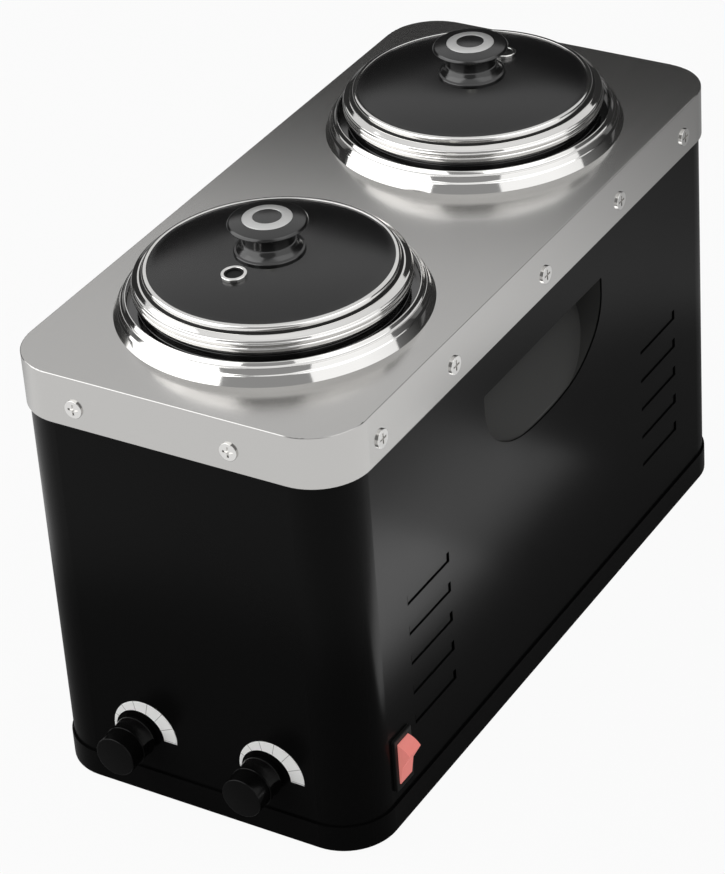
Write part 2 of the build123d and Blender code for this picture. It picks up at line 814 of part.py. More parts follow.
    # Lid glass: a shallow dome, flat under the knob and at its edge, with a hole for the vent.
    glass_thickness = band_height - 2 * band_sheet
    glass_radius = channel_radius - glass_edge_gap
    dome_radius = lid_radius - band_cover - glass_land
    edge_z = band_top - band_sheet
    glass_z = edge_z + glass_rise
    dome_run = dome_radius - glass_flat
    dome_curve = (dome_run**2 + glass_rise**2) / (2 * glass_rise)
    vent_lean = (vent_reach - glass_flat) / dome_curve
    vent_z = glass_z - dome_curve + (dome_curve**2 - (vent_reach - glass_flat) ** 2) ** 0.5
    out_x = cos(radians(vent_angles[name]))
    out_y = sin(radians(vent_angles[name]))
    vent_face = Plane(
        (vent_reach * out_x, y + vent_reach * out_y, vent_z),
        (-out_y, out_x, 0),
        (vent_lean * out_x, vent_lean * out_y, (1 - vent_lean**2) ** 0.5),
    )
    with BuildPart() as lid_glass:
        with BuildSketch(pot_section):
            with BuildLine():
                TangentArc((glass_flat, glass_z), (dome_radius, edge_z), tangent=(1, 0))
                Polyline(
                    (dome_radius, edge_z),
                    (glass_radius, edge_z),
                    (glass_radius, edge_z - glass_thickness),
                    (dome_radius, edge_z - glass_thickness),
                )
                TangentArc(
                    (glass_flat, glass_z - glass_thickness),
                    (dome_radius, edge_z - glass_thickness),
                    tangent=(1, 0),
                )
                Polyline(
                    (glass_flat, glass_z - glass_thickness),
                    (lid_screw_radius + fit_gap, glass_z - glass_thickness),
                    (lid_screw_radius + fit_gap, glass_z),
                    (glass_flat, glass_z),
                )
            make_face()
        revolve(axis=pot_axis)
        with BuildSketch(vent_face):
            Circle(vent_neck + fit_gap)
        extrude(amount=2 * glass_thickness, both=True, mode=Mode.SUBTRACT)
    lid_glass.part.label = f"lid_glass_{name}"
    export_step(lid_glass.part, f"parts/lid_glass_{name}.step")

    # Vent eyelet: a polished ring through the glass, turned over below it.
    vent_foot_face = vent_face.offset(-glass_thickness - vent_slack)
    with BuildPart() as lid_vent:
        with BuildSketch(vent_face):
            Circle(vent_radius)
        extrude(amount=vent_height)
        with BuildSketch(vent_foot_face):
            Circle(vent_neck)
        extrude(amount=glass_thickness + vent_slack)
        with BuildSketch(vent_foot_face):
            Circle(vent_radius)
        extrude(amount=-vent_foot)
        with BuildSketch(vent_face.offset(vent_height)):
            Circle(vent_hole)
        extrude(amount=-vent_height - glass_thickness - vent_slack - vent_foot, mode=Mode.SUBTRACT)
        fillet(lid_vent.edges().group_by(Axis.Z)[-1], radius=vent_round)
    lid_vent.part.label = f"lid_vent_{name}"
    export_step(lid_vent.part, f"parts/lid_vent_{name}.step")

    # Lid knob: a mushroom with a groove in its top for the ring and a blind hole for the screw.
    with BuildPart() as lid_knob:
        with BuildSketch(pot_section):
            with BuildLine():
                Polyline(
                    (0, glass_z + knob_height),
                    (0, glass_z),
                    (knob_base_radius, glass_z),
                    (knob_base_radius, glass_z + knob_base_height),
                    (knob_flare_radius, glass_z + knob_base_height),
                    (knob_stem_radius, glass_z + knob_stem_top),
                    (knob_neck_radius, glass_z + knob_stem_top),
                    (knob_neck_radius, glass_z + knob_neck_top),
                    (knob_disc_radius, glass_z + knob_disc_level),
                    (knob_top_radius, glass_z + knob_top_level),
                )
                TangentArc(
                    (0, glass_z + knob_height),
                    (knob_top_radius, glass_z + knob_top_level),
                    tangent=(1, 0),
                )
            make_face()
        revolve(axis=pot_axis)
        with BuildSketch(Plane.XY.offset(glass_z + ring_seat)):
            with Locations((0, y)):
                Circle(ring_outer + ring_gap)
                Circle(ring_inner - ring_gap, mode=Mode.SUBTRACT)
        extrude(amount=knob_height, mode=Mode.SUBTRACT)
        with BuildSketch(Plane.XY.offset(glass_z)):
            with Locations((0, y)):
                Circle(lid_screw_radius + thread_gap)
        screw_depth = lid_screw_length - glass_thickness - washer_thickness + lid_screw_room
        extrude(amount=screw_depth, mode=Mode.SUBTRACT)
    lid_knob.part.label = f"lid_knob_{name}"
    export_step(lid_knob.part, f"parts/lid_knob_{name}.step")

    # Ring inlaid in the top of the knob.
    with BuildPart() as lid_knob_ring:
        with BuildSketch(pot_section):
            with BuildLine():
                Polyline(
                    (ring_inner, glass_z + ring_seat),
                    (ring_outer, glass_z + ring_seat),
                    (ring_outer, glass_z + ring_outer_level),
                    (ring_inner, glass_z + ring_inner_level),
                    close=True,
                )
            make_face()
        revolve(axis=pot_axis)
    lid_knob_ring.part.label = f"lid_knob_ring_{name}"
    export_step(lid_knob_ring.part, f"parts/lid_knob_ring_{name}.step")

    # Washer and screw that hold the knob from below the glass.
    washer_z = glass_z - glass_thickness - washer_thickness
    with BuildPart() as lid_washer:
        with BuildSketch(Plane.XY.offset(washer_z)):
            with Locations((0, y)):
                Circle(washer_radius)
                Circle(lid_screw_radius + fit_gap, mode=Mode.SUBTRACT)
        extrude(amount=washer_thickness)
    lid_washer.part.label = f"lid_washer_{name}"
    export_step(lid_washer.part, f"parts/lid_washer_{name}.step")

    with BuildPart() as lid_screw:
        with BuildSketch(Plane.XY.offset(washer_z)):
            with Locations((0, y)):
                Circle(lid_screw_head)
        extrude(amount=-lid_screw_head_height)
        with BuildSketch(Plane.XY.offset(washer_z)):
            with Locations((0, y)):
                Circle(lid_screw_radius)
        extrude(amount=lid_screw_length)
        with BuildSketch(Plane.XY.offset(washer_z - lid_screw_head_height)):
            with Locations((0, y)):
                Rectangle(recess_length, recess_width)
                Rectangle(recess_width, recess_length)
        extrude(amount=recess_depth, mode=Mode.SUBTRACT)
    lid_screw.part.label = f"lid_screw_{name}"
    export_step(lid_screw.part, f"parts/lid_screw_{name}.step")

# Thermostats, dials and knobs come twice, side by side on the front.
heater_tab_z = heater_under - tab_length
thermostat_y = front_y + shell_sheet
thermostat_back = thermostat_y + thermostat_depth
thermostat_tab_y = thermostat_back + tab_length
thermostat_tab_z = dial_z - thermostat_tab_drop
for name, x in dial_x.items():
    panel_face = Plane((x, front_y, dial_z), (1, 0, 0), (0, -1, 0))

    # Dial plate: a white crescent on the front of the shell, over the knob.
    with BuildPart() as dial:
        with BuildSketch(panel_face):
            with Locations(dial_outer_shift):
                Circle(dial_outer)
            with Locations(dial_inner_shift):
                Circle(dial_inner, mode=Mode.SUBTRACT)
            with Locations((0, dial_end - dial_outer)):
                Rectangle(4 * dial_outer, 2 * dial_outer, mode=Mode.SUBTRACT)
        extrude(amount=dial_sheet)
    dial.part.label = f"dial_{name}"
    export_step(dial.part, f"parts/dial_{name}.step")

    # Thermostat: a box behind the panel, its threaded bushing through the panel, two terminals.
    with BuildPart() as thermostat:
        with BuildSketch(panel_face.offset(-shell_sheet)):
            RectangleRounded(thermostat_width, thermostat_height, thermostat_edge)
        extrude(amount=-thermostat_depth)
        with BuildSketch(panel_face.offset(-shell_sheet)):
            Circle(bushing_radius)
        extrude(amount=shell_sheet + bushing_reach)
        with BuildSketch(panel_face.offset(bushing_reach)):
            Circle(shaft_radius + running_gap)
        bore_length = bushing_reach + shell_sheet + shaft_inside + shaft_end_gap
        extrude(amount=-bore_length, mode=Mode.SUBTRACT)
        with BuildSketch(Plane.XZ.offset(-thermostat_back)):
            with Locations((x, thermostat_tab_z)):
                with GridLocations(thermostat_tab_spacing, tab_width, 2, 1):
                    Rectangle(tab_width, tab_thickness)
        extrude(amount=-tab_length)
    thermostat.part.label = f"thermostat_{name}"
    export_step(thermostat.part, f"parts/thermostat_{name}.step")

    # Nut on the bushing, hidden in the hollow of the knob.
    with BuildPart() as thermostat_nut:
        with BuildSketch(panel_face):
            RegularPolygon(bushing_nut_across / 2, 6, major_radius=False)
            Circle(bushing_radius + thread_gap, mode=Mode.SUBTRACT)
        extrude(amount=bushing_nut_thickness)
    thermostat_nut.part.label = f"thermostat_nut_{name}"
    export_step(thermostat_nut.part, f"parts/thermostat_nut_{name}.step")

    # Shaft of the thermostat, with a flat that keys the knob.
    with BuildPart() as thermostat_shaft:
        with BuildSketch(panel_face.offset(shaft_reach)):
            Circle(shaft_radius)
        extrude(amount=-shaft_reach - shell_sheet - shaft_inside)
        with BuildSketch(panel_face.offset(shaft_reach)):
            with Locations((0, shaft_radius)):
                Rectangle(2 * shaft_radius, 2 * shaft_flat)
        extrude(amount=control_hollow_level - shaft_reach, mode=Mode.SUBTRACT)
    thermostat_shaft.part.label = f"thermostat_shaft_{name}"
    export_step(thermostat_shaft.part, f"parts/thermostat_shaft_{name}.step")

    # Control knob: flared back, waist, lip and cap turned round the shaft, hollow at the back.
    with BuildPart() as control_knob:
        with BuildSketch(Plane((x, front_y, dial_z), (1, 0, 0), (0, 0, 1))):
            with BuildLine():
                Polyline(
                    (0, -control_face_level),
                    (control_face_radius, -control_face_level),
                    (control_cap_radius, -control_cap_level),
                    (control_lip_radius, -control_step_level),
                    (control_lip_radius, -control_lip_level),
                    (control_waist_radius, -control_waist_level),
                    (control_back_radius, -control_flare_level),
                    (control_back_radius, -control_back_level),
                    (control_neck_radius, -control_neck_level),
                    (control_neck_radius, -control_standoff),
                    (control_hollow_radius, -control_standoff),
                    (control_hollow_radius, -control_hollow_level),
                    (0, -control_hollow_level),
                    close=True,
                )
            make_face()
            face_edge = (control_face_radius, -control_face_level)
            fillet(vertices().sort_by_distance(face_edge)[0], radius=control_edge)
        revolve(axis=Axis((x, front_y, dial_z), (0, 1, 0)))
        with BuildSketch(panel_face.offset(control_hollow_level)):
            Circle(shaft_radius + running_gap)
            with Locations((0, shaft_radius + running_gap)):
                Rectangle(3 * shaft_radius, 2 * shaft_flat, mode=Mode.SUBTRACT)
        extrude(amount=shaft_reach + shaft_end_gap - control_hollow_level, mode=Mode.SUBTRACT)
    control_knob.part.label = f"control_knob_{name}"
    export_step(control_knob.part, f"parts/control_knob_{name}.step")

# Capillaries: from the top of each thermostat to the bulb under a pressure plate.
bulb_z = clamp_under - bulb_gap - bulb_radius
capillary_y = thermostat_y + thermostat_depth / 2
capillary_low = dial_z + thermostat_height / 2
capillary_run = (capillary_low + bulb_z) / 2
for name, pot_name, mirror_x in (("left", "front", -1), ("right", "rear", 1)):
    start_x = dial_x[name]
    bulb_x = mirror_x * bulb_offset
    bulb_start = pot_y[pot_name] - bulb_length / 2
    bend_y = bulb_start - 2 * capillary_bend
    with BuildPart() as capillary:
        with BuildLine():
            FilletPolyline(
                (start_x, capillary_y, capillary_low),
                (start_x, capillary_y, capillary_run),
                (start_x, bend_y - 4 * capillary_bend, capillary_run),
                (bulb_x, bend_y, bulb_z),
                (bulb_x, bulb_start, bulb_z),
                radius=capillary_bend,
            )
        with BuildSketch(Plane.XY.offset(capillary_low)):
            with Locations((start_x, capillary_y)):
                Circle(capillary_radius)
        sweep()
        with BuildSketch(Plane.XZ.offset(-bulb_start)):
            with Locations((bulb_x, bulb_z)):
                Circle(bulb_radius)
        extrude(amount=-bulb_length)
    capillary.part.label = f"capillary_{name}"
    export_step(capillary.part, f"parts/capillary_{name}.step")

# Switch housing: bezel outside, a box through the side of the shell, two terminals inside.
switch_face = Plane((side_x, switch_y, switch_z), (0, 1, 0), (1, 0, 0))
cavity_width = rocker_width + 2 * rocker_gap
cavity_height = 2 * (rocker_radius + rocker_gap)
with BuildPart() as switch_housing:
    with BuildSketch(switch_face):
        RectangleRounded(bezel_width, bezel_height, bezel_edge)
    extrude(amount=bezel_thickness)
    chamfer(switch_housing.faces().sort_by(Axis.X)[-1].edges(), length=bezel_edge / 2)
    with BuildSketch(switch_face):
        Rectangle(cavity_width + 2 * switch_wall, cavity_height + 2 * switch_wall)
    extrude(amount=-switch_depth)
    with BuildSketch(switch_face.offset(bezel_thickness)):
        Rectangle(cavity_width, cavity_height)
    extrude(amount=-bezel_thickness - switch_cavity, mode=Mode.SUBTRACT)
    with BuildSketch(Plane.XZ.offset(-switch_y)):
        with Locations((pivot_x, switch_z)):
            Circle(pivot_radius + running_gap)
    extrude(amount=cavity_width / 2 + switch_wall, both=True, mode=Mode.SUBTRACT)
    with BuildSketch(switch_face.offset(-switch_depth)):
        with GridLocations(tab_width, switch_tab_spacing, 1, 2):
            Rectangle(tab_width, tab_thickness)
    extrude(amount=-tab_length)
switch_housing.part.label = "switch_housing"
export_step(switch_housing.part, "parts/switch_housing.step")

# Rocker: two faces that meet in a shallow dip, round ends about the pivot, shown in the off position.
rocker_points = []
for angle in (rocker_end_angle, rocker_half_angle, -rocker_half_angle, -rocker_end_angle):
    turned = radians(angle - rocker_tilt)
    rocker_points.append(
        (pivot_x + rocker_radius * cos(turned), switch_z + rocker_radius * sin(turned))
    )
dip_turn = radians(-rocker_tilt)
rocker_dip_point = (pivot_x + rocker_dip * cos(dip_turn), switch_z + rocker_dip * sin(dip_turn))
with BuildPart() as switch_rocker:
    with BuildSketch(Plane.XZ.offset(-switch_y)):
        with BuildLine():
            RadiusArc(rocker_points[0], rocker_points[1], rocker_radius)
            Polyline(rocker_points[1], rocker_dip_point, rocker_points[2])
            RadiusArc(rocker_points[2], rocker_points[3], rocker_radius)
            Polyline(rocker_points[3], (pivot_x, switch_z), rocker_points[0])
        make_face()
        with Locations((pivot_x, switch_z)):
            Circle(rocker_hub)
    extrude(amount=rocker_width / 2, both=True)
    with BuildSketch(Plane.XZ.offset(-switch_y)):
        with Locations((pivot_x, switch_z)):
            Circle(pivot_radius)
    extrude(amount=rocker_width / 2 + rocker_gap + pivot_reach, both=True)
switch_rocker.part.label = "switch_rocker"
export_step(switch_rocker.part, "parts/switch_rocker.step")

# Terminal block on the floor of the tray, with wire entries in front and clamp screws on top.
block_front = block_y - block_width / 2
entry_z = floor_z + block_entry
with BuildPart() as terminal_block:
    with BuildSketch(Plane.XY.offset(floor_z)):
        with Locations((0, block_y)):
            Rectangle(block_length, block_width)
    extrude(amount=block_height)
    with BuildSketch(Plane.XZ.offset(-block_front)):
        with Locations((0, entry_z)):
            with GridLocations(block_pitch, block_pitch, block_poles, 1):
                Circle(lead_radius + fit_gap)
    extrude(amount=-block_entry_depth, mode=Mode.SUBTRACT)
    with BuildSketch(Plane.XY.offset(floor_z + block_height)):
        with Locations((0, block_y)):
            with GridLocations(block_pitch, block_pitch, block_poles, 1):
                Circle(block_screw_radius)
    extrude(amount=-block_entry, mode=Mode.SUBTRACT)
terminal_block.part.label = "terminal_block"
export_step(terminal_block.part, "parts/terminal_block.step")

# Leads between the terminal block, the switch, the thermostats and the heating plates.
block_end = block_front + block_entry_depth
switch_tab_x = side_x - switch_depth - tab_length
feed_x = switch_tab_x - 2 * lead_bend
thermostat_far = thermostat_tab_y + 4 * lead_bend
front_tab_y = pot_y["front"] - heater_tab_reach
rear_tab_y = pot_y["rear"] - heater_tab_reach
tab_x = heater_tab_spacing / 2
left_in = dial_x["left"] + thermostat_tab_spacing / 2
left_out = dial_x["left"] - thermostat_tab_spacing / 2
right_in = dial_x["right"] + thermostat_tab_spacing / 2
right_out = dial_x["right"] - thermostat_tab_spacing / 2
switch_low = switch_z - switch_tab_spacing / 2
switch_high = switch_z + switch_tab_spacing / 2
middle_z = (heater_tab_z + thermostat_tab_z) / 2
lead_paths = [
    [
        (2 * block_pitch, block_end, entry_z),
        (2 * block_pitch, block_front - 4 * lead_bend, entry_z),
        (feed_x, block_front - 8 * lead_bend, entry_z),
        (feed_x, switch_y, entry_z),
        (feed_x, switch_y, switch_low),
        (switch_tab_x, switch_y, switch_low),
    ],
    [
        (switch_tab_x, switch_y, switch_high),
        (feed_x, switch_y, switch_high),
        (right_in, thermostat_far, switch_high),
        (right_in, thermostat_far, thermostat_tab_z),
        (right_in, thermostat_tab_y, thermostat_tab_z),
    ],
    [
        (right_out, thermostat_tab_y, thermostat_tab_z),
        (right_out, rear_tab_y - 8 * lead_bend, thermostat_tab_z),
        (tab_x, rear_tab_y, middle_z),
        (tab_x, rear_tab_y, heater_tab_z),
    ],
    [
        (0, block_end, entry_z),
        (0, thermostat_far + 4 * lead_bend, entry_z),
        (left_in, thermostat_far, thermostat_tab_z),
        (left_in, thermostat_tab_y, thermostat_tab_z),
    ],
    [
        (left_out, thermostat_tab_y, thermostat_tab_z),
        (left_out, thermostat_far, thermostat_tab_z),
        (-tab_x, front_tab_y, middle_z),
        (-tab_x, front_tab_y, heater_tab_z),
    ],
    [
        (tab_x, front_tab_y, heater_tab_z),
        (tab_x, front_tab_y, middle_z),
        (-2 * block_pitch, front_tab_y + 8 * lead_bend, thermostat_tab_z),
        (-2 * block_pitch, block_front - 8 * lead_bend, thermostat_tab_z),
        (-2 * block_pitch, block_front - 2 * lead_bend, entry_z),
        (-2 * block_pitch, block_end, entry_z),
    ],
    [
        (-tab_x, rear_tab_y, heater_tab_z),
        (-tab_x, rear_tab_y, middle_z),
        (-block_pitch, block_front - 4 * lead_bend, entry_z),
        (-block_pitch, block_end, entry_z),
    ],
]
with BuildPart() as wiring:
    for path in lead_paths:
        heading = Vector(*path[1]) - Vector(*path[0])
        with BuildLine() as lead:
            FilletPolyline(*path, radius=lead_bend)
        with BuildSketch(Plane(path[0], z_dir=heading)):
            Circle(lead_radius)
        sweep(path=lead.line)
wiring.part.label = "wiring"
export_step(wiring.part, "parts/wiring.step")
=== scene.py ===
from math import cos, pi, radians, sin, sqrt

import bmesh
import bpy
from mathutils import Matrix, Vector


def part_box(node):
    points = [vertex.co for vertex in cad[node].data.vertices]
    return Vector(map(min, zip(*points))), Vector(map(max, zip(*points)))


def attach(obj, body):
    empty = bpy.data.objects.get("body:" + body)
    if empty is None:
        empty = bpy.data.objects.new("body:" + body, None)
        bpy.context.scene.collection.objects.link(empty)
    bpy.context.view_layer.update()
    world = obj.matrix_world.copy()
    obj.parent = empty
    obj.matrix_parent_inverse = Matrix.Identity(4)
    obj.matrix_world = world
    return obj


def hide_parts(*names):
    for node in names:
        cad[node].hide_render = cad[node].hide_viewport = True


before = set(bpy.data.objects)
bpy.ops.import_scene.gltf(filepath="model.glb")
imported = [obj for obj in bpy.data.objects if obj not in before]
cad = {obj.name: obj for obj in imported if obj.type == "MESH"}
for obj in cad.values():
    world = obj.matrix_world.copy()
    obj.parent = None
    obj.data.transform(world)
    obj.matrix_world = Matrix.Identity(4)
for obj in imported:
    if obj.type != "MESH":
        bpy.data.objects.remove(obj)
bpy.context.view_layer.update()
mm = 0.001


# Feet: four moulded rubber buttons under the tray, each held by a zinc-plated machine screw.
# The rubber is matt, with a faint cloud of bloom; the screw heads sit in the recesses.
def linear(code):
    """The linear colour of an sRGB hex code."""
    channels = [int(code[i:i + 2], 16) / 255 for i in (1, 3, 5)]
    return [c / 12.92 if c <= 0.04045 else ((c + 0.055) / 1.055) ** 2.4 for c in channels] + [1.0]


def add(material, kind, links, **settings):
    """Adds a node to a material: its settings, and for each input a value or another node's output."""
    new = material.node_tree.nodes.new("ShaderNode" + kind)
    for name, value in settings.items():
        setattr(new, name, value)
    for name, value in links.items():
        if isinstance(value, bpy.types.NodeSocket):
            material.node_tree.links.new(value, new.inputs[name])
        else:
            new.inputs[name].default_value = value
    return new


def noise(material, size, detail=2.0):
    """A cloudy pattern with patches of a given size, fixed to the piece."""
    place = add(material, "TexCoord", {})
    links = {"Vector": place.outputs["Object"], "Scale": 1 / size, "Detail": detail}
    return add(material, "TexNoise", links).outputs["Fac"]


def spread(material, pattern, low, high):
    """A pattern's values from 0 to 1, spread between two others."""
    links = {"Value": pattern, "To Min": low, "To Max": high}
    return add(material, "MapRange", links).outputs["Result"]


def tint(material, pattern, dark, pale):
    """A pattern in the colours between two sRGB hex codes."""
    ramp = add(material, "ValToRGB", {"Fac": pattern})
    ramp.color_ramp.elements[0].color = linear(dark)
    ramp.color_ramp.elements[1].color = linear(pale)
    return ramp.outputs["Color"]


def relief(material, pattern, strength, depth):
    """Normals that follow a pattern as a fine relief."""
    links = {"Height": pattern, "Strength": strength, "Distance": depth}
    return add(material, "Bump", links).outputs["Normal"]


def empty_material(name):
    material = bpy.data.materials.new(name)
    material.use_nodes = True
    material.node_tree.nodes.clear()
    return material


def surface(material, inputs):
    """Ends a material with one principled shader."""
    shader = add(material, "BsdfPrincipled", inputs)
    add(material, "OutputMaterial", {"Surface": shader.outputs["BSDF"]})


def paint(material, *nodes):
    """Gives CAD nodes a material."""
    for name in nodes:
        cad[name].material_slots[0].material = material


black_rubber = empty_material("black_rubber")
bloom = noise(black_rubber, size=3 * mm, detail=4.0)
surface(black_rubber, {
    "Base Color": tint(black_rubber, bloom, "#0A0A0A", "#161615"),
    "Roughness": 0.6,
    "Specular IOR Level": 0.2,
    "Normal": relief(black_rubber, bloom, strength=0.2, depth=0.1 * mm),
})
paint(black_rubber, "feet", "lid_washer_front", "lid_washer_rear")

# Zinc plate is a dull grey, with faint spangles a millimetre or two across.
zinc_plate = empty_material("zinc_plated_steel")
spangle_size = 1.5 * mm
place = add(zinc_plate, "TexCoord", {})
spangle = add(zinc_plate, "TexVoronoi", {"Vector": place.outputs["Object"], "Scale": 1 / spangle_size})
surface(zinc_plate, {
    "Base Color": linear("#B7B6AF"),
    "Metallic": 1.0,
    "Roughness": spread(zinc_plate, spangle.outputs["Distance"], 0.28, 0.45),
})
paint(zinc_plate, "foot_screws", "rear_panel_screws", "heater_clamp_front", "heater_clamp_rear",
      "clamp_nut_front", "clamp_nut_rear", "lid_screw_front", "lid_screw_rear",
      "thermostat_shaft_left", "thermostat_shaft_right")


# Base tray, body and rear panel: a pressed pan, one steel sheet wrapped round the case and a plate
# screwed over the service opening. All are sprayed with satin black enamel before assembly.
# The enamel is deep black with a soft gloss, and a very faint orange peel breaks its reflections.
satin_black_enamel = empty_material("satin_black_enamel")
peel = noise(satin_black_enamel, size=2.5 * mm)
flow = noise(satin_black_enamel, size=60 * mm, detail=3.0)
surface(satin_black_enamel, {
    "Base Color": linear("#090909"),
    "Roughness": spread(satin_black_enamel, flow, 0.2, 0.26),
    "Specular IOR Level": 0.05,
    "Normal": relief(satin_black_enamel, peel, strength=0.04, depth=0.3 * mm),
})
paint(satin_black_enamel, "base_tray", "body_shell", "rear_panel")


# Hand-hold cups, cord gland and switch housing: injection-moulded nylon, clipped or screwed in.
# The cups are charcoal, a little greyer than the enamel, and the rest is black; the eroded mould leaves
# a fine matt grain on all of them.
for name, colour, gloss, nodes in (
    ("moulded_charcoal_nylon", "#343433", 0.3, ("handle_cup_left", "handle_cup_right")),
    ("moulded_black_nylon", "#141413", 0.2, ("cable_gland", "gland_nut", "switch_housing")),
):
    nylon = empty_material(name)
    grain = noise(nylon, size=0.9 * mm, detail=3.0)
    surface(nylon, {
        "Base Color": linear(colour),
        "Roughness": spread(nylon, grain, 0.42, 0.55),
        "Specular IOR Level": gloss,
        "Normal": relief(nylon, grain, strength=0.1, depth=0.05 * mm),
    })
    paint(nylon, *nodes)


# Rocker: a red polycarbonate lens that tips in the switch housing.
# Its emission is a painted glow with no lamp behind it, so the whole lens looks an even, slightly glowing
# salmon.
red_polycarbonate = empty_material("red_polycarbonate")
cloud = noise(red_polycarbonate, size=6 * mm)
surface(red_polycarbonate, {
    "Base Color": tint(red_polycarbonate, cloud, "#8C413B", "#9A4C46"),
    "Roughness": 0.35,
    "Specular IOR Level": 0.3,
    # Painted glow: the lens shines by itself though it is no lamp.
    "Emission Color": linear("#E58A82"),
    "Emission Strength": 0.65,
})
paint(red_polycarbonate, "switch_rocker")


# Thermostats and thermal cut-outs: bought-in pieces in dark brown moulded phenolic, with brass nuts
# and copper capillary tubes. They are out of sight behind the front and under the heaters.
# The phenolic is finely flecked, and the brass and copper have patches of dull stain.
def metal(name, colour, size, detail, smooth, rough):
    """Bare metal of one colour, with patches of a given size that run from smooth to rough."""
    material = empty_material(name)
    surface(material, {
        "Base Color": linear(colour),
        "Metallic": 1.0,
        "Roughness": spread(material, noise(material, size, detail), smooth, rough),
    })
    return material


brown_phenolic = empty_material("brown_phenolic")
fleck = noise(brown_phenolic, size=0.8 * mm, detail=4.0)
surface(brown_phenolic, {
    "Base Color": tint(brown_phenolic, fleck, "#211A15", "#3A2E25"),
    "Roughness": 0.45,
})
turned_brass = metal("turned_brass", "#C9A45A", size=4 * mm, detail=3.0, smooth=0.2, rough=0.4)
drawn_copper = metal("drawn_copper", "#C07B54", size=4 * mm, detail=3.0, smooth=0.2, rough=0.4)
paint(brown_phenolic, "thermostat_left", "thermostat_right", "thermal_cutout_front", "thermal_cutout_rear")
paint(turned_brass, "thermostat_nut_left", "thermostat_nut_right")
paint(drawn_copper, "capillary_left", "capillary_right")


# Dial plates: stamped aluminium crescents with baked white enamel, stuck on the front round the knobs.
# A grey screen print divides the scale with fine lines that run out from the middle of the crescent.
def calc(material, operation, *values):
    """One step of arithmetic in a material."""
    return add(material, "Math", dict(enumerate(values)), operation=operation).outputs[0]


knob_axes = {}
for name in ("left", "right"):
    low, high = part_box("control_knob_" + name)
    knob_axes[name] = Vector(((low.x + high.x) / 2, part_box("dial_" + name)[1].y, (low.z + high.z) / 2))
scale_middle = Vector((2.5, 0, 0.1)) * mm
scale_step = pi / 7
line_width = 0.35 * mm
for name, axis in knob_axes.items():
    white_enamel = empty_material("white_enamel_" + name)
    place = add(white_enamel, "TexCoord", {})
    centred = add(white_enamel, "Mapping", {
        "Vector": place.outputs["Object"], "Location": -(axis + scale_middle),
    }).outputs["Vector"]
    parts = add(white_enamel, "SeparateXYZ", {"Vector": centred})
    turn = calc(white_enamel, "ARCTAN2", parts.outputs["Z"], parts.outputs["X"])
    steps = calc(white_enamel, "DIVIDE", turn, scale_step)
    off_line = calc(white_enamel, "SUBTRACT", steps, calc(white_enamel, "ROUND", steps))
    angle = calc(white_enamel, "MULTIPLY", off_line, scale_step)
    reach = add(white_enamel, "VectorMath", {0: centred}, operation="LENGTH").outputs["Value"]
    apart = calc(white_enamel, "ABSOLUTE", calc(white_enamel, "MULTIPLY", angle, reach))
    print_edge = add(white_enamel, "MapRange", {
        "Value": apart, "From Min": 0.4 * line_width, "From Max": 0.6 * line_width,
    }).outputs["Result"]
    surface(white_enamel, {
        "Base Color": tint(white_enamel, print_edge, "#A9A9A7", "#FBFBF9"),
        "Roughness": 0.4,
    })
    paint(white_enamel, "dial_" + name)


# Control knobs: turned black phenolic, pushed on the thermostat shafts: a flared back, a waist, a thin
# polished lip and a cap with a flat face. Phenolic takes a soft polish, so its edges catch the light.
rounding_segments = 5
sharp_angle = radians(28)
weld_distance = 1e-6


def turned(name, profile, place, body, node, material, steps=128):
    """A piece turned round its axis from (radius, height, rounding) points in mm.

    It takes the place of a CAD node where one is named.
    """
    lathe = bmesh.new()
    points = [lathe.verts.new((radius * mm, 0, height * mm)) for radius, height, _ in profile]
    for pair in zip(points, points[1:]):
        lathe.edges.new(pair)
    for point, (_, _, rounding) in zip(points, profile):
        if rounding:
            bmesh.ops.bevel(lathe, geom=[point], offset=rounding * mm, offset_type="OFFSET",
                            segments=rounding_segments, profile=0.5, affect="VERTICES", material=-1)
    bmesh.ops.spin(lathe, geom=lathe.verts[:] + lathe.edges[:], cent=(0, 0, 0), axis=(0, 0, 1),
                   angle=2 * pi, steps=steps, use_merge=True)
    bmesh.ops.remove_doubles(lathe, verts=lathe.verts[:], dist=weld_distance)
    bmesh.ops.recalc_face_normals(lathe, faces=lathe.faces[:])
    bmesh.ops.transform(lathe, matrix=place, verts=lathe.verts[:])
    for face in lathe.faces:
        face.smooth = True
    mesh = bpy.data.meshes.new(name)
    lathe.to_mesh(mesh)
    lathe.free()
    mesh.set_sharp_from_angle(angle=sharp_angle)
    mesh.materials.append(material)
    piece = bpy.data.objects.new(name, mesh)
    bpy.context.scene.collection.objects.link(piece)
    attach(piece, body)
    if node:
        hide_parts(node)
    return piece


def plastic(name, colour, size, detail, smooth, rough, gloss):
    """Plain plastic or rubber of one colour, with patches of a given size that run from smooth to rough."""
    material = empty_material(name)
    surface(material, {
        "Base Color": linear(colour),
        "Roughness": spread(material, noise(material, size, detail), smooth, rough),
        "Specular IOR Level": gloss,
    })
    return material


black_phenolic = plastic("moulded_black_phenolic", "#060606", size=5 * mm, detail=5.0,
                         smooth=0.13, rough=0.2, gloss=0.14)
control_profile = (
    (0, 24.1, 0), (11.5, 24.1, 0.5), (11.8, 14.1, 0), (12.1, 13.9, 0), (12.1, 13.3, 0), (11.35, 8.6, 0),
    (12.1, 4.7, 0.3), (12.1, 4.2, 0), (11.0, 3.8, 0), (11.0, 1.2, 0), (10.2, 1.2, 0), (10.2, 6.2, 0),
    (0, 6.2, 0),
)
for name, axis in knob_axes.items():
    out_of_front = Matrix.Translation(axis) @ Matrix.Rotation(pi / 2, 4, "X")
    turned("turned_knob_" + name, control_profile, out_of_front, "knob_" + name, "control_knob_" + name,
           black_phenolic)


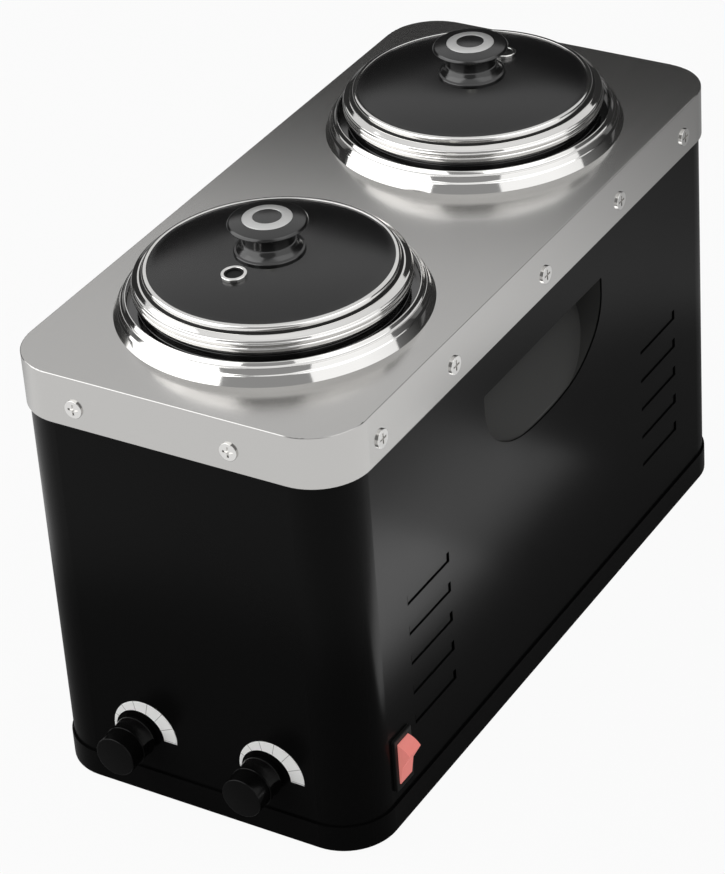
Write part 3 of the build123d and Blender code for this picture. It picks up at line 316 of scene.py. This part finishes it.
# Terminal block and leads: a cream nylon strip on the floor of the case and silicone-insulated leads
# to the switch, thermostats and heaters. Heating plates are cast aluminium, jackets mineral wool.
# All are mottled and matt: the wool is coarse, and the casting has the grain of the sand mould.
for name, dark, pale, rough, fibre_size, nodes in (
    ("cream_nylon", "#CFC6AC", "#D8D0B8", 0.5, 2.0 * mm, ("terminal_block",)),
    ("red_silicone", "#8C1D17", "#A3271F", 0.6, 3.0 * mm, ("wiring",)),
    ("mineral_wool", "#8C8054", "#CBBE8C", 0.95, 1.2 * mm, ("insulation_front", "insulation_rear")),
):
    filling = empty_material(name)
    fibre = noise(filling, size=fibre_size, detail=5.0)
    surface(filling, {
        "Base Color": tint(filling, fibre, dark, pale),
        "Roughness": rough,
        "Normal": relief(filling, fibre, strength=0.3, depth=0.2 * mm),
    })
    paint(filling, *nodes)

cast_aluminium = empty_material("cast_aluminium")
sand = noise(cast_aluminium, size=0.7 * mm, detail=4.0)
surface(cast_aluminium, {
    "Base Color": linear("#BDBDBE"),
    "Metallic": 1.0,
    "Roughness": spread(cast_aluminium, sand, 0.45, 0.65),
    "Normal": relief(cast_aluminium, sand, strength=0.4, depth=0.1 * mm),
})
paint(cast_aluminium, "heater_plate_front", "heater_plate_rear")


# Top cover: 1.2 mm stainless sheet, folded down all round and brushed along its length.
# The brushing spreads each reflection across the grain, so the sheet looks pale satin grey.
# The lines are about 0.1 mm wide on the real sheet; here they are drawn 0.5 mm wide so that they show.
brushed_stainless = empty_material("brushed_stainless")
line_size = 0.5 * mm
line_length = 60 * mm
place = add(brushed_stainless, "TexCoord", {})
drawn = add(brushed_stainless, "Mapping", {
    "Vector": place.outputs["Object"], "Scale": (1 / line_size, 1 / line_length, 1 / line_size),
})
lines = add(brushed_stainless, "TexNoise", {
    "Vector": drawn.outputs["Vector"], "Scale": 1.0, "Detail": 3.0,
}).outputs["Fac"]
surface(brushed_stainless, {
    "Base Color": linear("#BDBCBA"),
    "Metallic": 1.0,
    "Roughness": spread(brushed_stainless, lines, 0.15, 0.2),
    "Normal": relief(brushed_stainless, lines, strength=0.05, depth=0.05 * mm),
})
paint(brushed_stainless, "top_cover")


# Cover screws: flat-headed stainless screws with a cross recess, through the skirt into the body.
# Their heads are turned, which leaves fine marks and a bright, slightly blurred reflection.
turned_stainless = metal("turned_stainless", "#D8D7D5", size=0.4 * mm, detail=2.0, smooth=0.06, rough=0.12)
paint(turned_stainless, "cover_screws")


# Collars: spun from thin stainless, polished to a mirror and seated on the cover round each well.
# A polished surface shows the lamps sharply, with only a trace of haze and wiping marks.
polished_stainless = metal("polished_stainless", "#DFDEDC", size=25 * mm, detail=4.0, smooth=0.05, rough=0.1)
large_steps = 192
cover_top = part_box("top_cover")[1].z
pot_places = {}
for name in ("front", "rear"):
    low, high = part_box("collar_" + name)
    pot_places[name] = Vector((0, (low.y + high.y) / 2, cover_top))
collar_profile = (
    (82.1, 0, 0), (83.5, 0, 0), (81.2, 4.8, 0.35), (80.3, 5.6, 0.3), (79.2, 8.1, 0), (79.0, 8.1, 0),
    (79.0, 8.4, 0.2), (78.0, 8.9, 0.3), (76.8, 10.6, 0.25), (76.1, 10.6, 0.25), (76.1, 4.6, 0.5),
    (69.0, 4.6, 0), (69.0, 3.9, 0), (76.8, 3.9, 0), (76.8, 9.2, 0), (78.5, 7.4, 0), (79.6, 4.9, 0),
    (80.5, 4.1, 0), (82.1, 0, 0),
)
for name, spot in pot_places.items():
    turned("spun_collar_" + name, collar_profile, Matrix.Translation(spot), "case", "collar_" + name,
           polished_stainless, steps=large_steps)


# Collar shade rings: glossy black rings that sit on the flange of the well and hug its wall, inside
# the collar. They are painted shade: a black sheet put where the gap under the rim of the pot lies in shade.
# They are black face on and shine at a flat angle.
shade_ring_black = plastic("glossy_black_shade_ring", "#0B0B0B", size=5 * mm, detail=3.0,
                         smooth=0.07, rough=0.12, gloss=1.0)
shade_ring_profile = (
    (68.2, 5.65, 0), (75.9, 5.65, 0), (75.9, 6.3, 0.2), (70.4, 6.6, 0.5), (69.9, 10.3, 0.3), (68.2, 10.3, 0),
    (68.2, 5.65, 0),
)
for name, spot in pot_places.items():
    turned("collar_shade_ring_" + name, shade_ring_profile, Matrix.Translation(spot), "case", None,
           shade_ring_black, steps=large_steps)


# Wells: deep-drawn stainless buckets that hang in the collars over the heaters.
# Plain rolled sheet has a soft, cloudy sheen.
rolled_stainless = metal("rolled_stainless", "#BEBDBB", size=12 * mm, detail=4.0, smooth=0.18, rough=0.3)
paint(rolled_stainless, "well_front", "well_rear")


# Pots: deep-drawn stainless buckets with two beads rolled in the rim and a ledge for the lid, polished like
# the collars. Their rims rest on the roll of the well.
pot_profile = (
    (0, -147.4, 0), (64.5, -147.4, 11), (64.5, 20.5, 0), (67.8, 20.5, 0.3), (67.8, 21.6, 0.2),
    (69.0, 21.6, 0.3), (71.2, 20.2, 0.3), (72.0, 19.9, 0.3), (72.3, 18.7, 0), (72.75, 18.25, 0.3),
    (72.75, 16.5, 0.3), (72.3, 16.05, 0.15), (72.75, 15.6, 0.3), (72.75, 13.4, 0.5), (65.5, 13.4, 1.0),
    (65.5, -148.4, 12), (0, -148.4, 0),
)
for name, spot in pot_places.items():
    turned("drawn_pot_" + name, pot_profile, Matrix.Translation(spot), "pot_" + name, "pot_" + name,
           polished_stainless, steps=large_steps)


# Lids: a shallow dome of smoked tempered glass in a rolled stainless band, with a black rubber seal round
# the foot of the band. Smoked glass is nearly black, so it shows the lamps above it as a soft grey sheen.
smoked_glass = empty_material("smoked_glass")
film = noise(smoked_glass, size=40 * mm, detail=3.0)
surface(smoked_glass, {
    "Base Color": linear("#1A1A1A"),
    "Roughness": spread(smoked_glass, film, 0.19, 0.25),
    "IOR": 1.5,
    "Specular IOR Level": 0.65,
    "Transmission Weight": 0.9,
})

lid_seat = 20.5
band_profile = (
    (64.0, 0, 0), (66.9, 0, 0.3), (66.9, 4.7, 1.5), (64.0, 4.7, 0.25), (64.0, 4.1, 0), (66.3, 4.1, 0),
    (66.3, 0.6, 0), (64.0, 0.6, 0), (64.0, 0, 0),
)
seal_profile = (
    (66.92, 0.1, 0), (67.7, 0.1, 0), (67.7, 1.2, 0), (68.1, 1.2, 0), (68.1, 1.4, 0.1), (66.92, 1.6, 0),
    (66.92, 0.1, 0),
)
glass_edge = 4.1
glass_thickness = 3.5
glass_rise = 5.6
glass_bore = 2.7
glass_flat = 19.4
glass_radius = 66.0
dome_reach = 63.6
dome_steps = 14
dome_run = dome_reach - glass_flat
dome_radius = (dome_run ** 2 + glass_rise ** 2) / (2 * glass_rise)
glass_top = glass_edge + glass_rise


def dome(radius):
    """Height of the glass above its edge."""
    return glass_rise - dome_radius + sqrt(dome_radius ** 2 - max(radius - glass_flat, 0) ** 2)


dome_radii = [glass_flat + dome_run * step / dome_steps for step in range(dome_steps + 1)]
glass_profile = (
    [(glass_bore, glass_top, 0)]
    + [(radius, glass_edge + dome(radius), 0) for radius in dome_radii]
    + [(glass_radius, glass_edge, 0), (glass_radius, glass_edge - glass_thickness, 0)]
    + [(radius, glass_edge - glass_thickness + dome(radius), 0) for radius in reversed(dome_radii)]
    + [(glass_bore, glass_top - glass_thickness, 0), (glass_bore, glass_top, 0)]
)
for name, spot in pot_places.items():
    lid_place = Matrix.Translation(spot + Vector((0, 0, lid_seat * mm)))
    turned("rolled_band_" + name, band_profile, lid_place, "lid_" + name, "lid_rim_" + name,
           polished_stainless, steps=large_steps)
    turned("domed_glass_" + name, glass_profile, lid_place, "lid_" + name, "lid_glass_" + name,
           smoked_glass, steps=large_steps)
    turned("lid_seal_" + name, seal_profile, lid_place, "lid_" + name, None,
           black_rubber, steps=large_steps)


# Steam vents: polished eyelets crimped through the glass, leaning with the dome.
# A black rubber grommet lines each one. The black flap across it is painted shade that stands in for the dark
# inside of the hole, so that the hole looks black.
vent_reach = 29.2
vent_bearing = {"front": radians(-97), "rear": radians(81)}
vent_lean = (vent_reach - glass_flat) / dome_radius
vent_steps = 64
eyelet_profile = (
    (5.7, 0.6, 0), (5.0, 0.6, 0), (5.0, 2.0, 0.3), (7.0, 2.0, 0.5), (7.0, 0, 0), (6.2, 0, 0), (6.2, -3.75, 0),
    (7.0, -3.75, 0), (7.0, -4.55, 0), (5.7, -4.55, 0), (5.7, 0.6, 0),
)
shade_grommet_profile = (
    (0, 0.6, 0), (4.2, 0.6, 0), (4.2, 1.5, 0.2), (4.98, 1.5, 0), (4.98, 0.55, 0), (5.66, 0.55, 0),
    (5.66, -4.5, 0), (0, -4.5, 0),
)
for name, spot in pot_places.items():
    on_dome = Vector((vent_reach, 0, lid_seat + glass_edge + dome(vent_reach))) * mm
    vent_place = (Matrix.Translation(spot) @ Matrix.Rotation(vent_bearing[name], 4, "Z")
                  @ Matrix.Translation(on_dome) @ Matrix.Rotation(vent_lean, 4, "Y"))
    turned("crimped_vent_" + name, eyelet_profile, vent_place, "lid_" + name, "lid_vent_" + name,
           polished_stainless, steps=vent_steps)
    turned("vent_shade_grommet_" + name, shade_grommet_profile, vent_place, "lid_" + name, None,
           black_rubber, steps=vent_steps)


# Lid knobs: turned black phenolic mushrooms, screwed on from below through the glass, with a spun aluminium
# ring pressed into a groove in the top. The phenolic is buffed to a soft shine, and the ring's fine turning
# marks give it an even, silvery grey.
knob_height = 20.5
crown_reach = 20.1
crown_rise = 2.2
crown_radius = (crown_reach ** 2 + crown_rise ** 2) / (2 * crown_rise)
groove_floor = 18.6


def crown(radius):
    """Height of the knob's domed top above the glass."""
    return knob_height - crown_radius + sqrt(crown_radius ** 2 - radius ** 2)


knob_profile = (
    [(radius, crown(radius), 0) for radius in (0, 4, 7.5)]
    + [(7.5, groove_floor, 0), (13.2, groove_floor, 0)]
    + [(radius, crown(radius), 0) for radius in (13.2, 15, 17, 18.6)]
    + [(20.1, 18.3, 0.5), (21.3, 16.6, 0.7), (13.6, 12.3, 0.6), (13.6, 6.9, 0.1), (14.3, 6.9, 0.3),
       (15.2, 4.7, 0.6), (17.2, 2.5, 0.2), (18.4, 2.4, 0.15), (18.8, 2.0, 0.15), (18.8, 0, 0), (0, 0, 0)]
)
ring_profile = (
    (7.6, groove_floor, 0), (7.6, 20.25, 0.15), (10.4, crown(10.4) + 0.02, 0), (13.1, 19.6, 0.15),
    (13.1, groove_floor, 0), (7.6, groove_floor, 0),
)
polished_phenolic = plastic("polished_black_phenolic", "#101010", size=8 * mm, detail=4.0,
                            smooth=0.14, rough=0.22, gloss=0.7)
spun_aluminium = metal("spun_aluminium", "#D4D4D3", size=0.8 * mm, detail=3.0, smooth=0.38, rough=0.48)
for name, spot in pot_places.items():
    knob_place = Matrix.Translation(spot + Vector((0, 0, (lid_seat + glass_top) * mm)))
    mushroom = turned("turned_mushroom_" + name, knob_profile, knob_place, "lid_" + name, "lid_knob_" + name,
                      polished_phenolic)
    inlay = turned("spun_ring_" + name, ring_profile, knob_place, "lid_" + name, "lid_knob_ring_" + name,
                   spun_aluminium)
    # The glass shows an even sheen in front of the knob, without the knob's mirror image.
    mushroom.visible_glossy = False
    inlay.visible_glossy = False


# Stage: a wide pale floor. It looks white to the camera, and keeps the shadow. In metal and glass it shows a
# painted pool of light: white away from the boiler and towards the camera, fading close to the boiler and
# behind it to the grey floor and its real shading.
camera_turn = radians(31.93)
camera_side = (sin(camera_turn), -cos(camera_turn), 0.0)
floor_radius = 9.0
half_base = (0.1, 0.214, 0.0)
dark_reach, white_reach = 0.15, 0.22
behind, beside = -0.4, 0.0
behind_share = 0.1
white_to_camera = 0.95

floor_mesh = bmesh.new()
bmesh.ops.create_circle(floor_mesh, cap_ends=True, segments=96, radius=floor_radius)
floor_data = bpy.data.meshes.new("floor")
floor_mesh.to_mesh(floor_data)
floor_mesh.free()
floor = bpy.data.objects.new("floor", floor_data)
bpy.context.scene.collection.objects.link(floor)

pale_floor = empty_material("pale_floor")
path = add(pale_floor, "LightPath", {})
mirrored = calc(pale_floor, "MAXIMUM", path.outputs["Is Glossy Ray"], path.outputs["Is Transmission Ray"])
place = add(pale_floor, "TexCoord", {})
along = add(pale_floor, "VectorMath", {0: place.outputs["Object"]}, operation="ABSOLUTE")
outside = add(pale_floor, "VectorMath", {0: along.outputs["Vector"], 1: half_base}, operation="SUBTRACT")
beyond = add(pale_floor, "VectorMath", {0: outside.outputs["Vector"], 1: (0.0, 0.0, 0.0)}, operation="MAXIMUM")
clear = add(pale_floor, "VectorMath", {0: beyond.outputs["Vector"]}, operation="LENGTH")
away = add(pale_floor, "MapRange", {
    "Value": clear.outputs["Value"], "From Min": dark_reach, "From Max": white_reach,
}, interpolation_type="SMOOTHSTEP")
towards = add(pale_floor, "VectorMath", {0: place.outputs["Object"], 1: camera_side}, operation="DOT_PRODUCT")
painted_front_light = add(pale_floor, "MapRange", {
    "Value": towards.outputs["Value"], "From Min": behind, "From Max": beside, "To Min": behind_share,
}, interpolation_type="SMOOTHSTEP")
# Painted pool of light in reflections, masked by distance from the boiler and by direction.
painted_light_pool = calc(pale_floor, "MULTIPLY", away.outputs["Result"], painted_front_light.outputs["Result"])
mirrored_share = calc(pale_floor, "MULTIPLY", mirrored, painted_light_pool)
seen_share = calc(pale_floor, "MULTIPLY", path.outputs["Is Camera Ray"], white_to_camera)
share = calc(pale_floor, "MAXIMUM", mirrored_share, seen_share)
matt = add(pale_floor, "BsdfDiffuse", {"Color": linear("#8A8A8A")})
white = add(pale_floor, "Emission", {"Color": linear("#FFFFFF"), "Strength": 1.0})
blend = add(pale_floor, "MixShader", {"Fac": share, 1: matt.outputs[0], 2: white.outputs[0]})
add(pale_floor, "OutputMaterial", {"Surface": blend.outputs[0]})
floor_data.materials.append(pale_floor)


# Light: a wide panel overhead that reaches behind the boiler, a large panel on each side of the camera and
# two low strips that lie beside the right wall and give it its sheen. The surroundings fade from a soft
# grey on the camera's side to nearly black behind the boiler.
def softbox(name, spot, size, radiance, turn):
    """An area lamp of a given radiance: where it is, its width and height, and its turn."""
    lamp = bpy.data.lights.new(name, "AREA")
    lamp.shape = "RECTANGLE"
    lamp.size, lamp.size_y = size
    lamp.energy = radiance * size[0] * size[1] * pi
    holder = bpy.data.objects.new(name, lamp)
    holder.location = spot
    holder.rotation_euler = turn
    holder.visible_camera = False
    bpy.context.scene.collection.objects.link(holder)


def facing(spot, target):
    """The turn of a lamp at one point that faces another."""
    return (Vector(target) - Vector(spot)).to_track_quat("-Z", "Y").to_euler()


aim = (0.0, 0.0, 0.2)
left_spot = (-0.936, -0.902, 0.95)
right_spot = (1.295, -0.115, 0.95)
overhead_turn = (0, 0, camera_turn + radians(160))
facing_up = (pi, 0, 0)
softbox("overhead", (-0.19, 0.3, 1.0), (2.2, 1.87), 0.79, overhead_turn)
softbox("panel_left", left_spot, (2.3, 1.7), 2.0, facing(left_spot, aim))
softbox("panel_right", right_spot, (1.85, 1.7), 0.9, facing(right_spot, aim))
softbox("low_strip_front", (0.221, -0.025, 0.004), (0.082, 0.17), 3.4, facing_up)
softbox("low_strip_rear", (0.221, 0.12, 0.004), (0.082, 0.12), 1.7, facing_up)

world = bpy.data.worlds.new("studio")
world.use_nodes = True
world.node_tree.nodes.clear()
around = add(world, "TexCoord", {})
forward = add(world, "VectorMath", {0: around.outputs["Generated"], 1: camera_side}, operation="DOT_PRODUCT")
fade = add(world, "MapRange", {
    "Value": forward.outputs["Value"], "From Min": -0.4, "From Max": 0.5, "To Min": 0.03, "To Max": 0.33,
})
sky = add(world, "Background", {"Color": linear("#FFFFFF"), "Strength": fade.outputs["Result"]})
add(world, "OutputWorld", {"Surface": sky.outputs[0]})
bpy.context.scene.world = world


# Camera at the photograph's place, with its lens and framing.
lens_data = bpy.data.cameras.new("camera")
lens_data.lens = 140.43
lens_data.sensor_width = 36.0
lens_data.shift_x = 0.0389
lens_data.shift_y = -0.0693
camera = bpy.data.objects.new("camera", lens_data)
camera.matrix_world = Matrix((
    (0.857702, -0.220104, 0.464652, 0.848438),
    (0.509622, 0.483594, -0.711634, -1.361715),
    (-0.068069, 0.847167, 0.526949, 1.154778),
    (0.0, 0.0, 0.0, 1.0),
))
bpy.context.scene.collection.objects.link(camera)
bpy.context.scene.camera = camera
bpy.context.scene.view_settings.view_transform = "Standard"
